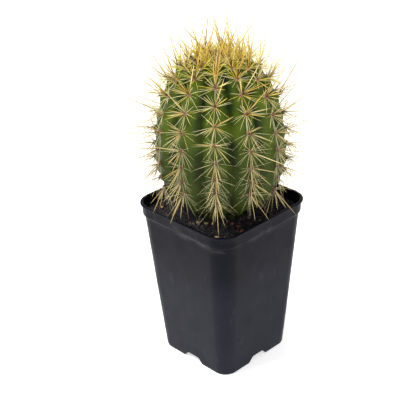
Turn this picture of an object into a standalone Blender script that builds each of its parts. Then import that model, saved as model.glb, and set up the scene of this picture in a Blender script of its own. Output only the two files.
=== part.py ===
"""A round ribbed cactus standing in the soil of a square nursery pot, in metres, +Z up.

The origin is the centre of the pot's base, on the surface that the pot stands on.
The pot's sides run along X and Y.
"""

import math
import random

import bmesh
import bpy
from mathutils import Matrix, Vector

# A touching pair of solids keeps this much air between them.
CLEARANCE = 0.0003

# Pot. Each width is across the flats of a rounded square, outside.
POT_HEIGHT = 0.1214
LIP_WIDTH = 0.0900
LIP_OVERHANG = 0.0009
BAND_OVERHANG = 0.0013
BASE_WIDTH = 0.0672
LIP_THICKNESS = 0.0015
BAND_HEIGHT = 0.0099
BAND_STEP_HEIGHT = 0.0010
BAND_FLARE = 0.0003
LIP_ROUNDING = 0.0004
TOP_CORNER_RADIUS = 0.0147
BASE_CORNER_RADIUS = 0.0098
POT_WALL = 0.0010
FOOT_RING_WIDTH = 0.0040
FOOT_RING_HEIGHT = 0.0026

# Drain arches, one in the middle of each side, at the base.
DRAIN_WIDTH = 0.0190
DRAIN_TOP_WIDTH = 0.0115
DRAIN_HEIGHT = 0.0050
DRAIN_DEPTH = 0.0080
DRAIN_ROUNDING = 0.0015

# Soil: its level below the lip, and how much higher it lies at the plant.
SOIL_DROP = 0.0078
SOIL_MOUND = 0.0012

# Stem. Radii are to the ribs' crests; heights are from the level where it is widest.
RIB_COUNT = 12
FIRST_RIB_BEARING = math.radians(10.3)
STEM_RADIUS = 0.0449
GROOVE_DEPTH = 0.0065
WIDEST_ABOVE_SOIL = 0.0427
CROWN_HEIGHT = 0.0724
CROWN_FULLNESS = 2.4
BELLY_DEPTH = 0.0410
BELLY_FULLNESS = 2.2
NECK_RADIUS = 0.0180
ROOT_DEPTH = 0.0100
ROOT_END_RADIUS = 0.0145

# Areoles: a felt pad every so often along each crest, with a fan of spines from each.
AREOLE_SPACING = 0.0125
PAD_LENGTH = 0.0020
PAD_RADIUS = 0.0017
PAD_SHOULDER = 0.0009
THREAD_RADIUS = 0.0006
CENTRAL_SPINE = 0.0235
LOWER_SPINE = 0.0180
RADIAL_SPINE = 0.0130
FAN_HALF_ANGLE = math.radians(13)
SPINE_ABOVE_SOIL = 0.0015
SPINE_TO_WALL = 0.0015
SPINE_OVER_LIP = 0.0030

# Crown: the woolly tip and its upright young spines.
CROWN_RADIUS = 0.0090
CROWN_TO_ROWS = 0.0020
CROWN_PAD_THICKNESS = 0.0012
CROWN_SPINE = 0.0210
CROWN_EDGE_SPINE = 0.0160
CROWN_LEAN = math.radians(9)

# Chips lying on the soil: name, bearing in degrees, share of the way from the stem's neck to the pot's wall,
# length, width, height, turn in degrees.
CHIPS = (
    ("pale_chip_1", -81, 0.43, 0.0036, 0.0026, 0.0018, 20),
    ("pale_chip_2", -69, 0.35, 0.0030, 0.0024, 0.0018, 70),
    ("pale_chip_3", -60, 0.27, 0.0026, 0.0020, 0.0016, 130),
    ("pale_chip_4", -50, 0.71, 0.0044, 0.0024, 0.0018, 35),
    ("pale_chip_5", -138, 0.64, 0.0030, 0.0020, 0.0016, 100),
    ("bark_chip_1", -31, 0.31, 0.0034, 0.0026, 0.0018, 10),
    ("bark_chip_2", -25, 0.50, 0.0042, 0.0024, 0.0018, 60),
    ("bark_chip_3", -25, 0.73, 0.0040, 0.0030, 0.0020, 95),
    ("bark_chip_4", -40, 0.73, 0.0036, 0.0022, 0.0016, 150),
    ("bark_chip_5", 31, 0.46, 0.0034, 0.0024, 0.0018, 40),
    ("perlite_grain", -17, 0.86, 0.0024, 0.0022, 0.0018, 0),
)
CHIP_ROUGHNESS = 0.16
CHIP_SEED = 7

# Mesh fineness.
CORNER_STEPS = 6
FLAT_STEPS = 4
STEPS_PER_RIB = 6
BELLY_RINGS = 7
CROWN_RINGS = 10
CREST_SAMPLES = 240
THREAD_SIDES = 6
CROWN_PAD_SIDES = 10
CROWN_PAD_RINGS = 3
SMOOTH_ANGLE = math.radians(40)

# Levels and sizes that follow from the ones above.
BAND_WIDTH = LIP_WIDTH - 2 * LIP_OVERHANG
BODY_TOP_WIDTH = BAND_WIDTH - 2 * BAND_OVERHANG
POT_INNER_HALF = BODY_TOP_WIDTH / 2 - POT_WALL
SOIL_LEVEL = POT_HEIGHT - SOIL_DROP
BAND_LEVEL = POT_HEIGHT - BAND_HEIGHT
FLOOR_TOP = FOOT_RING_HEIGHT + POT_WALL
WIDEST_LEVEL = SOIL_LEVEL + WIDEST_ABOVE_SOIL
RING_POINTS = 4 * (CORNER_STEPS + FLAT_STEPS)


def clear_scene():
    for old in list(bpy.data.objects):
        bpy.data.objects.remove(old)


def make_material(name, color, roughness):
    material = bpy.data.materials.new(name)
    material.use_nodes = True
    shader = material.node_tree.nodes["Principled BSDF"]
    shader.inputs["Base Color"].default_value = (*color, 1)
    shader.inputs["Roughness"].default_value = roughness
    shader.inputs["Metallic"].default_value = 0
    return material


def add_object(name, mesh, material=None):
    thing = bpy.data.objects.new(name, mesh)
    bpy.context.scene.collection.objects.link(thing)
    if material:
        thing.data.materials.clear()
        thing.data.materials.append(material)
    return thing


def finished_mesh(name, bm, smooth=True):
    """The bmesh as a mesh with its faces pointing out."""
    bmesh.ops.recalc_face_normals(bm, faces=bm.faces)
    mesh = bpy.data.meshes.new(name)
    bm.to_mesh(mesh)
    bm.free()
    if smooth:
        mesh.shade_smooth()
        mesh.set_sharp_from_angle(angle=SMOOTH_ANGLE)
    return mesh


def mix(start, end, share):
    return start + (end - start) * share


def loft(bm, rings):
    """Rings of equally many points joined by quads, and closed by a flat face at each end."""
    rows = [[bm.verts.new(point) for point in ring] for ring in rings]
    count = len(rows[0])
    for low, high in zip(rows, rows[1:]):
        for i in range(count):
            j = (i + 1) % count
            bm.faces.new((low[i], low[j], high[j], high[i]))
    bm.faces.new(rows[0][::-1])
    bm.faces.new(rows[-1])
    return rows


# ---------------------------------------------------------------- pot


def rounded_square(half, radius, height):
    """Points around a rounded square, counter-clockwise: each corner's arc, then the flat after it."""
    points = []
    for quarter in range(4):
        turn = Matrix.Rotation(quarter * math.pi / 2, 3, "Z")
        centre = half - radius
        for step in range(CORNER_STEPS + 1):
            angle = step * math.pi / 2 / CORNER_STEPS
            corner = Vector((centre + radius * math.cos(angle), centre + radius * math.sin(angle), height))
            points.append(turn @ corner)
        for step in range(1, FLAT_STEPS):
            along = mix(centre, -centre, step / FLAT_STEPS)
            points.append(turn @ Vector((along, half, height)))
    return points


def circle_ring(radius, height):
    """As many points as rounded_square gives, evenly spaced, each facing the one of the same number."""
    start = math.pi / 4 - CORNER_STEPS / 2 * math.tau / RING_POINTS
    angles = [start + i * math.tau / RING_POINTS for i in range(RING_POINTS)]
    return [Vector((radius * math.cos(a), radius * math.sin(a), height)) for a in angles]


def corner_radius(height):
    return mix(BASE_CORNER_RADIUS, TOP_CORNER_RADIUS, height / POT_HEIGHT)


def body_half(height):
    """Half the pot's outer width at a height below the band."""
    return mix(BASE_WIDTH, BODY_TOP_WIDTH, height / BAND_LEVEL) / 2


def pot_outside():
    """(half width, height) up the pot's outer side."""
    lip_base = POT_HEIGHT - LIP_THICKNESS
    return [
        (BASE_WIDTH / 2, 0),
        (body_half(BAND_LEVEL), BAND_LEVEL),
        (BAND_WIDTH / 2 - BAND_FLARE, BAND_LEVEL + BAND_STEP_HEIGHT),
        (BAND_WIDTH / 2, lip_base - LIP_ROUNDING / 2),
        (LIP_WIDTH / 2, lip_base + LIP_ROUNDING / 2),
        (LIP_WIDTH / 2, POT_HEIGHT - LIP_ROUNDING),
        (LIP_WIDTH / 2 - LIP_ROUNDING, POT_HEIGHT),
    ]


def pot_inside():
    """(half width, height) up the pot's inner side, a wall's thickness in from the outer one."""
    return [
        (body_half(FLOOR_TOP) - POT_WALL, FLOOR_TOP),
        (body_half(BAND_LEVEL) - POT_WALL, BAND_LEVEL),
        (BAND_WIDTH / 2 - BAND_FLARE - POT_WALL, BAND_LEVEL + BAND_STEP_HEIGHT),
        (BAND_WIDTH / 2 - POT_WALL, POT_HEIGHT),
    ]


def pot_mesh():
    raised_half = BASE_WIDTH / 2 - FOOT_RING_WIDTH
    raised_radius = BASE_CORNER_RADIUS - FOOT_RING_WIDTH
    rings = [
        rounded_square(raised_half - FOOT_RING_HEIGHT / 2, raised_radius, FOOT_RING_HEIGHT),
        rounded_square(raised_half, raised_radius, 0),
    ]
    rings += [rounded_square(half, corner_radius(z), z) for half, z in pot_outside()]
    rings += [rounded_square(half, corner_radius(z) - POT_WALL, z) for half, z in reversed(pot_inside())]
    bm = bmesh.new()
    loft(bm, rings)
    return finished_mesh("pot", bm)


def drain_cutter(name, margin):
    """Four rounded trapezoid prisms, one through the foot of each side, each larger by margin all round."""
    bm = bmesh.new()
    low = -2 * DRAIN_HEIGHT
    high = DRAIN_HEIGHT + margin
    outer = BASE_WIDTH
    inner = BASE_WIDTH / 2 - DRAIN_DEPTH - margin
    for quarter in range(4):
        turn = Matrix.Rotation(quarter * math.pi / 2, 3, "Z")
        wide = DRAIN_WIDTH / 2 + margin
        narrow = DRAIN_TOP_WIDTH / 2 + margin
        outline = [(-wide, low), (wide, low), (wide, 0), (narrow, high), (-narrow, high), (-wide, 0)]
        front = [bm.verts.new(turn @ Vector((x, -outer, z))) for x, z in outline]
        back = [bm.verts.new(turn @ Vector((x, -inner, z))) for x, z in outline]
        bm.faces.new(front)
        bm.faces.new(back[::-1])
        for i in range(len(outline)):
            j = (i + 1) % len(outline)
            bm.faces.new((front[i], back[i], back[j], front[j]))
        top_edges = [bm.edges.get((front[i], back[i])) for i in (3, 4)]
        bmesh.ops.bevel(bm, geom=top_edges, offset=DRAIN_ROUNDING, segments=3, affect="EDGES", profile=0.5)
    cutter = add_object(name, finished_mesh(name, bm, smooth=False))
    cutter.hide_render = True
    cutter.display_type = "WIRE"
    return cutter


def cut(thing, cutter):
    modifier = thing.modifiers.new("drains", "BOOLEAN")
    modifier.operation = "DIFFERENCE"
    modifier.object = cutter


def build_pot():
    plastic = make_material("pot_plastic", (0.034, 0.035, 0.045), 0.45)
    pot = add_object("pot", pot_mesh(), plastic)
    cut(pot, drain_cutter("drain_cutter", 0))


# --------------------------------------------------------------- soil


def soil_height(distance):
    """Height of the soil's surface at a distance from the axis."""
    share = (distance - NECK_RADIUS) / (BAND_WIDTH / 2 - NECK_RADIUS)
    return SOIL_LEVEL + SOIL_MOUND * max(0, 1 - share)


def soil_mesh():
    bottom = FLOOR_TOP + CLEARANCE
    sides = [(body_half(bottom) - POT_WALL, bottom)]
    sides += [(half, z) for half, z in pot_inside() if bottom < z < SOIL_LEVEL]
    sides.append((sides[-1][0], SOIL_LEVEL))
    rings = [
        rounded_square(half - CLEARANCE, corner_radius(z) - POT_WALL - CLEARANCE, z) for half, z in sides
    ]
    socket = (NECK_RADIUS + CLEARANCE) / math.cos(math.pi / RING_POINTS)
    middle = (socket + BAND_WIDTH / 2) / 2
    rings.append(circle_ring(middle, soil_height(middle)))
    rings.append(circle_ring(socket, soil_height(socket)))
    rings.append(circle_ring(socket, SOIL_LEVEL - ROOT_DEPTH - CLEARANCE))
    bm = bmesh.new()
    loft(bm, rings)
    return finished_mesh("soil", bm)


def build_soil():
    peat = make_material("peat", (0.014, 0.011, 0.009), 0.95)
    soil = add_object("soil", soil_mesh(), peat)
    cut(soil, drain_cutter("soil_drain_cutter", CLEARANCE))


def chip_mesh(name, length, width, height, rng):
    """A small uneven lump, its lowest point at z 0."""
    bm = bmesh.new()
    bmesh.ops.create_icosphere(bm, subdivisions=1, radius=0.5)
    for vert in bm.verts:
        vert.co *= 1 + rng.uniform(-CHIP_ROUGHNESS, CHIP_ROUGHNESS)
        vert.co = Vector((vert.co.x * length, vert.co.y * width, vert.co.z * height))
    bmesh.ops.translate(bm, verts=bm.verts, vec=(0, 0, -min(vert.co.z for vert in bm.verts)))
    return finished_mesh(name, bm, smooth=False)


def chip_distance(bearing, share):
    """How far from the axis a chip lies."""
    wall = POT_INNER_HALF / max(abs(math.cos(bearing)), abs(math.sin(bearing)))
    return mix(NECK_RADIUS, wall, share)


def build_chips():
    colors = {
        "pale_chip": (0.42, 0.33, 0.16),
        "bark_chip": (0.16, 0.055, 0.028),
        "perlite_grain": (0.6, 0.6, 0.58),
    }
    materials = {kind: make_material(kind, color, 0.8) for kind, color in colors.items()}
    rng = random.Random(CHIP_SEED)
    for name, bearing, share, length, width, height, turn in CHIPS:
        kind = next(kind for kind in colors if name.startswith(kind))
        chip = add_object(name, chip_mesh(name, length, width, height, rng), materials[kind])
        angle = math.radians(bearing)
        distance = chip_distance(angle, share)
        seat = soil_height(distance - length) + CLEARANCE
        chip.location = (distance * math.cos(angle), distance * math.sin(angle), seat)
        chip.rotation_euler.z = math.radians(turn)


# --------------------------------------------------------------- stem


def crest_point(turn):
    """(radius, height) of a rib's crest. turn runs from -pi/2 under the belly, by 0 at the widest, to pi/2."""
    fullness, reach = (CROWN_FULLNESS, CROWN_HEIGHT) if turn > 0 else (BELLY_FULLNESS, BELLY_DEPTH)
    across = max(0, math.cos(turn)) ** (2 / fullness)
    along = abs(math.sin(turn)) ** (2 / fullness)
    return STEM_RADIUS * across, WIDEST_LEVEL + math.copysign(reach * along, turn)


def turn_at_radius(radius, fullness):
    """How far crest_point turns from the widest level to where the crest has this radius."""
    return math.acos((radius / STEM_RADIUS) ** (fullness / 2))


def stem_ring(radius, height):
    """Around the stem: rounded crests with a sharp groove between each two."""
    depth = GROOVE_DEPTH * radius / STEM_RADIUS
    count = RIB_COUNT * STEPS_PER_RIB
    ring = []
    for i in range(count):
        angle = i * math.tau / count
        r = radius - depth * (1 - abs(math.cos(angle * RIB_COUNT / 2)))
        ring.append(Vector((r * math.cos(angle), r * math.sin(angle), height)))
    return ring


def stem_mesh():
    neck_turn = turn_at_radius(NECK_RADIUS, BELLY_FULLNESS)
    rings = [
        stem_ring(ROOT_END_RADIUS, SOIL_LEVEL - ROOT_DEPTH),
        stem_ring(NECK_RADIUS, SOIL_LEVEL - ROOT_DEPTH / 2),
    ]
    for i in range(BELLY_RINGS):
        rings.append(stem_ring(*crest_point(-neck_turn * (1 - i / BELLY_RINGS))))
    for i in range(CROWN_RINGS):
        rings.append(stem_ring(*crest_point(math.pi / 2 * i / CROWN_RINGS)))
    bm = bmesh.new()
    rows = loft(bm, rings)
    cap = next(face for face in bm.faces if set(face.verts) == set(rows[-1]))
    tip = bmesh.ops.poke(bm, faces=[cap])["verts"][0]
    tip.co.z = WIDEST_LEVEL + CROWN_HEIGHT
    return finished_mesh("cactus_stem", bm)


def build_stem():
    skin = make_material("stem_skin", (0.075, 0.16, 0.035), 0.5)
    stem = add_object("cactus_stem", stem_mesh(), skin)
    stem.rotation_euler.z = FIRST_RIB_BEARING


# ------------------------------------------------------------- spines


def crest_track():
    """(distance along, point, outward normal, upward tangent) at close steps up a crest in the XZ plane."""
    low = -turn_at_radius(NECK_RADIUS + PAD_RADIUS, BELLY_FULLNESS)
    high = turn_at_radius(CROWN_RADIUS + CROWN_TO_ROWS, CROWN_FULLNESS)
    points = []
    for i in range(CREST_SAMPLES + 1):
        radius, height = crest_point(mix(low, high, i / CREST_SAMPLES))
        points.append(Vector((radius, 0, height)))
    track = []
    travelled = 0
    for before, here, after in zip([points[0]] + points, points, points[1:] + [points[-1]]):
        travelled += (here - before).length
        tangent = (after - before).normalized()
        track.append((travelled, here, Vector((tangent.z, 0, -tangent.x)), tangent))
    return track


def at_distance(track, distance):
    """The nearest sample of the track to a distance along it."""
    return min(track, key=lambda sample: abs(sample[0] - distance))


def felt_ring(bm, sample, radius, lift):
    """A ring of the felt thread around the crest's normal plane, its underside a little above the crest."""
    _, point, normal, _ = sample
    side = Vector((0, 1, 0))
    flat = math.cos(math.pi / THREAD_SIDES)
    centre = point + normal * (lift + radius * flat)
    ring = []
    for i in range(THREAD_SIDES):
        angle = (i + 0.5) * math.tau / THREAD_SIDES
        ring.append(bm.verts.new(centre + normal * radius * math.cos(angle) + side * radius * math.sin(angle)))
    return ring


def join_rings(bm, low, high):
    """Quads between two rings of felt. Face i lies between points i and i + 1."""
    count = len(low)
    return [
        bm.faces.new((low[i], low[(i + 1) % count], high[(i + 1) % count], high[i])) for i in range(count)
    ]


def share_to(limit, start, end):
    """The share of the way from start to end at which the value rises past the limit, or 1 if it never does."""
    if start >= limit:
        return 0
    if end <= limit:
        return 1
    return (limit - start) / (end - start)


def inside_space(tip, base):
    """The tip kept within its rib's own share of the air, off the soil, off the lip and out of the crown."""
    tip = tip.copy()
    tip.z = max(tip.z, SOIL_LEVEL + SOIL_MOUND + SPINE_ABOVE_SOIL)
    tip.x = max(tip.x, CROWN_RADIUS + CROWN_TO_ROWS)
    within_pot = POT_INNER_HALF - SPINE_TO_WALL
    over_lip = POT_HEIGHT + SPINE_OVER_LIP
    past_wall = share_to(within_pot, base.x, tip.x)
    below_lip = share_to(-over_lip, -base.z, -tip.z)
    stop = base.lerp(tip, max(past_wall, below_lip))
    if base.x < within_pot or stop.x > within_pot:
        tip = stop
    widest = tip.x * math.tan(FAN_HALF_ANGLE)
    tip.y = max(-widest, min(widest, tip.y))
    return tip


def raise_spine(bm, face, sample, out, side, up, length):
    """Pulls the face out into one long spine."""
    _, _, normal, tangent = sample
    base = face.calc_center_median()
    direction = (normal * out + Vector((0, 1, 0)) * side + tangent * up).normalized()
    tip = bmesh.ops.poke(bm, faces=[face])["verts"][0]
    tip.co = inside_space(base + direction * length, base)


def spine_fan(bm, bands, sample):
    """Nine spines from one pad: three each from its lower, middle and upper band of faces."""
    left, right, centre = 0, THREAD_SIDES - 2, THREAD_SIDES - 1
    lower, middle, upper = bands
    for index, sign in ((left, 1), (right, -1)):
        raise_spine(bm, lower[index], sample, 0.35, 0.75 * sign, -0.55, RADIAL_SPINE)
        raise_spine(bm, middle[index], sample, 0.45, 0.90 * sign, 0.05, RADIAL_SPINE)
        raise_spine(bm, upper[index], sample, 0.40, 0.65 * sign, 0.60, RADIAL_SPINE)
    raise_spine(bm, lower[centre], sample, 0.75, 0, -0.66, LOWER_SPINE)
    raise_spine(bm, middle[centre], sample, 1.00, 0, 0.12, CENTRAL_SPINE)
    raise_spine(bm, upper[centre], sample, 0.80, 0, 0.60, RADIAL_SPINE)


def spine_row_mesh():
    """One crest's areoles in the XZ plane: felt pads on a thread of felt, each with its fan of spines."""
    track = crest_track()
    half_pad = PAD_LENGTH / 2
    reach = half_pad + PAD_SHOULDER
    run = track[-1][0] - 2 * reach
    count = int(run / AREOLE_SPACING) + 1
    places = [reach + run - i * AREOLE_SPACING for i in reversed(range(count))]
    bm = bmesh.new()
    end = None
    fans = []
    for place in places:
        rings = [
            felt_ring(bm, at_distance(track, place - reach), THREAD_RADIUS, 2 * CLEARANCE),
            felt_ring(bm, at_distance(track, place - half_pad), PAD_RADIUS, CLEARANCE),
            felt_ring(bm, at_distance(track, place + half_pad), PAD_RADIUS, CLEARANCE),
            felt_ring(bm, at_distance(track, place + reach), THREAD_RADIUS, 2 * CLEARANCE),
        ]
        if end:
            join_rings(bm, end, rings[0])
        else:
            bm.faces.new(rings[0][::-1])
        fans.append(([join_rings(bm, low, high) for low, high in zip(rings, rings[1:])], at_distance(track, place)))
        end = rings[-1]
    bm.faces.new(end)
    for bands, sample in fans:
        spine_fan(bm, bands, sample)
    return finished_mesh("spine_row", bm, smooth=False)


def build_spine_rows(horn):
    mesh = spine_row_mesh()
    for i in range(RIB_COUNT):
        row = add_object(f"spine_row_{i + 1:02d}", mesh, horn)
        row.rotation_euler.z = FIRST_RIB_BEARING + i * math.tau / RIB_COUNT


def crown_ring(radius, lift):
    """A ring over the stem's tip, lifted off its surface."""
    _, height = crest_point(turn_at_radius(radius, CROWN_FULLNESS))
    angles = [i * math.tau / CROWN_PAD_SIDES for i in range(CROWN_PAD_SIDES)]
    return [Vector((radius * math.cos(a), radius * math.sin(a), height + lift)) for a in angles]


def crown_mesh():
    """The woolly tip: a thin pad over the top of the stem, each of its upper faces pulled into a spine."""
    under = WIDEST_LEVEL + CROWN_HEIGHT + CLEARANCE
    radii = [CROWN_RADIUS * (1 - i / (CROWN_PAD_RINGS + 0.5)) for i in range(CROWN_PAD_RINGS + 1)]
    rings = [[Vector((p.x, p.y, under)) for p in crown_ring(radii[-1], 0)]]
    rings.append(crown_ring(CROWN_RADIUS, 2 * CLEARANCE))
    rings += [crown_ring(radius, CROWN_PAD_THICKNESS) for radius in radii]
    bm = bmesh.new()
    loft(bm, rings)
    floor = CLEARANCE + CROWN_PAD_THICKNESS / 2
    tops = [
        face
        for face in bm.faces
        if min(vert.co.z - crest_height(vert.co) for vert in face.verts) > floor
    ]
    for face in tops:
        base = face.calc_center_median()
        share = base.xy.length / CROWN_RADIUS
        lean = Vector((base.x, base.y, 0)) / CROWN_RADIUS * math.tan(CROWN_LEAN)
        length = mix(CROWN_SPINE, CROWN_EDGE_SPINE, share)
        tip = bmesh.ops.poke(bm, faces=[face])["verts"][0]
        tip.co = base + (Vector((0, 0, 1)) + lean).normalized() * length
        tip.co.xy *= min(1, CROWN_RADIUS / tip.co.xy.length) if tip.co.xy.length else 1
    return finished_mesh("crown_spines", bm, smooth=False)


def crest_height(point):
    """Height of the stem's top under a point near its axis."""
    return crest_point(turn_at_radius(point.xy.length, CROWN_FULLNESS))[1]


def build_crown(horn):
    crown = add_object("crown_spines", crown_mesh(), horn)
    crown.rotation_euler.z = FIRST_RIB_BEARING


def main():
    clear_scene()
    build_pot()
    build_soil()
    build_chips()
    build_stem()
    horn = make_material("spine_horn", (0.46, 0.30, 0.10), 0.5)
    build_spine_rows(horn)
    build_crown(horn)


main()
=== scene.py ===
"""The looks of a round ribbed cactus in a square nursery pot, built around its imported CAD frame.

In metres, Z up.
"""

import math

import bpy
import numpy as np
from mathutils import Matrix, Vector, noise


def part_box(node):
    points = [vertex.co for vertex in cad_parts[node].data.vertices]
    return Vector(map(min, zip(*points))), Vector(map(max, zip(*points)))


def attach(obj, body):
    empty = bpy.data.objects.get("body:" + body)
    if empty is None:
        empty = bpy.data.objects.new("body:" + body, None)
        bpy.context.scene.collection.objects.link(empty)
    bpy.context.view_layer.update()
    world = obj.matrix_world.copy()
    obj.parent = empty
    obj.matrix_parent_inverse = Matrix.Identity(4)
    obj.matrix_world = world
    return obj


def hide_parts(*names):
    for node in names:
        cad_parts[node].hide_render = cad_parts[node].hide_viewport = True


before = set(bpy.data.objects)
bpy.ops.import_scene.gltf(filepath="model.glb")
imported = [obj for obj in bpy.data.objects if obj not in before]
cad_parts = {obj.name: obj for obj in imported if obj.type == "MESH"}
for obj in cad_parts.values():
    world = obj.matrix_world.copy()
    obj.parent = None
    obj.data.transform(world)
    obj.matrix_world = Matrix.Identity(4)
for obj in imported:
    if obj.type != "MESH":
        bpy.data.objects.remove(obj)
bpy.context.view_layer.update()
rng = np.random.default_rng(12)

# ------------------------------------------------------------- camera

CAMERA_AZIMUTH = math.radians(45.73)
CAMERA_ELEVATION = math.radians(27.83)
CAMERA_ROLL = math.radians(-1.79)
CAMERA_DISTANCE = 0.7239
TARGET_HEIGHT = 0.1141
TARGET_ASIDE = -0.0098
LENS_MM = 88.3
SENSOR_MM = 36

# -------------------------------------------------------------- sizes

# The pot, as its CAD node has it.
LIP_OVERHANG = 0.0009
BAND_OVERHANG = 0.0013
BASE_WIDTH = 0.0672
LIP_THICKNESS = 0.0015
BAND_HEIGHT = 0.0099
BAND_STEP_HEIGHT = 0.0010
BAND_FLARE = 0.0003
TOP_CORNER_RADIUS = 0.0147
BASE_CORNER_RADIUS = 0.0098
POT_WALL = 0.0010
FOOT_RING_WIDTH = 0.0040
FOOT_RING_HEIGHT = 0.0026
DRAIN_WIDTH = 0.0190
DRAIN_TOP_WIDTH = 0.0115
DRAIN_HEIGHT = 0.0050
DRAIN_DEPTH = 0.0080
DRAIN_ROUNDING = 0.0015

# The pot's finer shape.
POT_COLUMNS = 320
POT_RING_SPACING = 0.0030
EDGE_ROUNDING = 0.0005
BASE_ROUNDING = 0.0012
WALL_BOW = 0.00035
WALL_WAVES = 0.00010
WALL_WAVE_SIZE = 0.022
SHARP_ANGLE = math.radians(38)

# The stem, as its CAD node has it.
RIB_COUNT = 12
GROOVE_DEPTH = 0.0065
CROWN_FULLNESS = 2.4
BELLY_FULLNESS = 2.2
BELLY_DEPTH = 0.0410
NECK_RADIUS = 0.0180
ROOT_END_RADIUS = 0.0145
NECK_BELOW_SOIL = 0.0050

# The skin's finer shape.
COLUMNS_PER_RIB = 28
RING_SPACING = 0.0006
SWELLING = 0.0006
LUMP_SIZE = 0.013
LUMP_HEIGHT = 0.0005
WRINKLE_SPACING = 0.0016
WRINKLE_HEIGHT = 0.00012

# Areoles: (distance from the stem's tip, spacing there) along each rib.
AREOLE_SPACINGS = (
    (0, 0.0050),
    (0.019, 0.0066),
    (0.030, 0.0100),
    (0.045, 0.0127),
    (0.076, 0.0121),
    (0.110, 0.0086),
)
FIRST_AREOLE = 0.0130
LAST_AREOLE = 0.1130
AREOLE_WIDTH = 0.0031
AREOLE_LENGTH = 0.0037
AREOLE_HEIGHT = 0.0013
FELT_SIDES = 12
FELT_LEVELS = 4
WOOL_HAIRS = 34
WOOL_LENGTH = 0.0010
WOOL_WIDTH = 0.00016

# Spines.
RADIAL_COUNT = 20
RADIAL_LENGTH = 0.0136
RADIAL_WIDTH = 0.00030
RADIAL_TAPER = 0.50
CENTRAL_COUNT = 5
CENTRAL_WIDTH = 0.00090
CENTRAL_TAPER = 0.45
YOUNG_CENTRAL = 0.0320
OLD_CENTRAL = 0.0205
SPINE_SIDES = 5
SPINE_STEPS = (0, 0.05, 0.30, 0.60, 0.85)
FOOT_FLARE = 1.25
SPINE_ABOVE_SOIL = 0.0012
SPINE_TO_WALL = 0.0012
SHORTEST_SHARE = 0.15

# How the spines change with age: (on the youngest areole, on the oldest one).
RADIAL_MISSING = (0.05, 0.28)
RADIAL_RISE_DEGREES = (38, 22)
RADIAL_DROOP = (-0.25, 0.50)
RADIAL_UNEVEN = (0.10, 0.30)
RADIAL_THICKNESS = (1.25, 0.72)
CENTRAL_LEAN = (0.50, -0.75)
CENTRAL_THICKNESS = (1, 0.65)

# How they change while they grow out: (at the very tip, from a third of the way down).
RADIAL_GROWTH = (0.45, 1.0)
CENTRAL_GROWTH = (0.35, 1.0)
LONG_CENTRAL_CHANCE = (0.05, 1.0)

# The crown's tuft.
TUFT_RADIUS = 0.0135
TUFT_COUNT = 220
TUFT_LENGTH = 0.0063
TUFT_WIDTH = 0.00048
TUFT_LONGEST = 0.0380
TUFT_ONE_LONG_IN = 23
TUFT_FELT_EVERY = 6

# Soil.
SOIL_MOUND = 0.0012
SOIL_COLUMNS = 240
SOIL_RINGS = 60
SOIL_ROUGHNESS = 0.0011
CLEARANCE = 0.0003
CRUMB_COUNT = 4200
CRUMB_SMALLEST = 0.0005
CRUMB_RANGE = 0.0021
CORNER_REACH = 1.68
FIBRE_COUNT = 170

# The studio: its paper floor, and the point that its lamps face.
FLOOR_FLAT = 2.0
FLOOR_REACH = 6.0
FLOOR_RISE = 2.6
FLOOR_COLUMNS = 96
FLOOR_RINGS = 24
LAMP_AIM = (0, 0, 0.13)

# ------------------------------------------------ measures of the frame


def node_points(name):
    """The vertices of a CAD node, as rows of x, y and z."""
    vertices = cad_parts[name].data.vertices
    points = np.empty(len(vertices) * 3)
    vertices.foreach_get("co", points)
    return points.reshape(-1, 3)


def bearing_of(name):
    x, y, _ = node_points(name).mean(axis=0)
    return math.atan2(y, x)


ROWS = [f"spine_row_{number:02d}" for number in range(1, RIB_COUNT + 1)]
CRESTS = [bearing_of(row) for row in ROWS]
stem_points = node_points("cactus_stem")
stem_reach = np.hypot(stem_points[:, 0], stem_points[:, 1])
STEM_RADIUS = stem_reach.max()
WIDEST_LEVEL = stem_points[stem_reach.argmax(), 2]
STEM_TOP = stem_points[:, 2].max()
STEM_FOOT = stem_points[:, 2].min()
POT_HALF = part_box("pot")[1].x
POT_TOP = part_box("pot")[1].z
SOIL_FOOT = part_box("soil")[0].z
SOIL_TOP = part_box("soil")[1].z
SOIL_LEVEL = SOIL_TOP - SOIL_MOUND
SOIL_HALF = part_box("soil")[1].x

# ------------------------------------------------------------- numbers


def mix(start, end, share):
    return start + (end - start) * share


def unit(vectors):
    return vectors / np.linalg.norm(vectors, axis=-1, keepdims=True)


def scattered(low, high, count):
    return rng.uniform(low, high, count)


def bumps(points, size, seed=0):
    """Smooth noise, from about -1 to 1, with lumps of this size, at each of the points."""
    shift = Vector((seed * 7.3, seed * 3.1, seed * 5.7))
    flat = points.reshape(-1, 3) / size
    return np.array([noise.noise(Vector(point) + shift) for point in flat]).reshape(points.shape[:-1])


# -------------------------------------------------------------- meshes


class Pile:
    """Small shapes gathered into one mesh, with numbers on each vertex for its materials to read."""

    def __init__(self):
        self.count = 0
        self.points = []
        self.faces = []
        self.slots = []
        self.numbers = {}

    def add(self, points, faces, slot=0, **numbers):
        for group in faces:
            self.faces += (group + self.count).tolist()
            self.slots += [slot] * len(group)
        for name, values in numbers.items():
            self.numbers.setdefault(name, []).append(np.broadcast_to(values, len(points)))
        self.points.append(points)
        self.count += len(points)

    def make(self, name, *materials, smooth=True):
        mesh = bpy.data.meshes.new(name)
        mesh.from_pydata(np.concatenate(self.points).tolist(), [], self.faces)
        for material in materials:
            mesh.materials.append(material)
        mesh.polygons.foreach_set("material_index", self.slots)
        mesh.polygons.foreach_set("use_smooth", [smooth] * len(self.faces))
        for key, values in self.numbers.items():
            attribute = mesh.attributes.new(key, "FLOAT", "POINT")
            attribute.data.foreach_set("value", np.concatenate(values).astype(np.float32))
        piece = bpy.data.objects.new(name, mesh)
        bpy.context.scene.collection.objects.link(piece)
        return piece


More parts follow.
